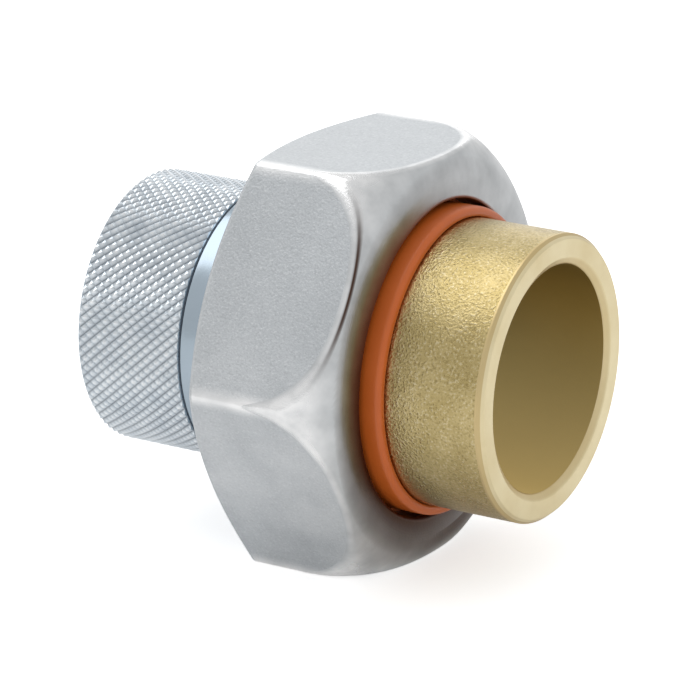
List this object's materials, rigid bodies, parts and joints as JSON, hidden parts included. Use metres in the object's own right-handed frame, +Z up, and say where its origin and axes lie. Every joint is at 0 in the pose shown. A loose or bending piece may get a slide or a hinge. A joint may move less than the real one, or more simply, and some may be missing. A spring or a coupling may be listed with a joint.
{
  "type": "pipe union",
  "caption": "Dielectric pipe union joining a brass solder end to a threaded steel end with a six-sided nut, insulated by a plastic collar and a rubber washer.",
  "frame": {"origin": "on the waterway's axis, half way between the solder mouth and the threaded mouth, which is the centre of the bounding box", "axes": "+X along the waterway towards the solder end, +Z up with the nut lying on one of its flats, +Y to complete a right-handed set"},
  "size_m": [0.0586, 0.0596, 0.0518],
  "materials": {
    "plated_steel": "bright zinc plate",
    "nut_steel": "satin zinc plate",
    "brass": "blasted, machined end face",
    "orange_plastic": "satin",
    "black_rubber": "matt"
  },
  "bodies": {
    "steel_body": {"steel_body": "plated_steel"},
    "gasket": {"gasket": "black_rubber"},
    "insulator": {"insulator": "orange_plastic"},
    "union_nut": {"union_nut": "nut_steel"},
    "tailpiece": {"tailpiece": "brass"}
  },
  "joints": [
    {"name": "nut_advance", "type": "slide", "parent": "steel_body", "child": "insulator", "axis": [1, 0, 0], "range_m": [0, 0.008]},
    {"name": "nut_turn", "type": "hinge", "parent": "insulator", "child": "union_nut", "pos_m": [0, 0, 0], "axis": [1, 0, 0], "range_deg": [0, 1440]},
    {"name": "gasket_lift", "type": "slide", "parent": "steel_body", "child": "gasket", "axis": [1, 0, 0], "range_m": [0, 0.004]},
    {"name": "tailpiece_swivel", "type": "hinge", "parent": "insulator", "child": "tailpiece", "pos_m": [0, 0, 0], "axis": [1, 0, 0], "continuous": true}
  ],
  "couplings": [
    {"joint": "nut_advance", "follows": "nut_turn", "m_per_rad": 0.00031831},
    {"joint": "gasket_lift", "follows": "nut_turn", "m_per_rad": 0.00015915}
  ]
}
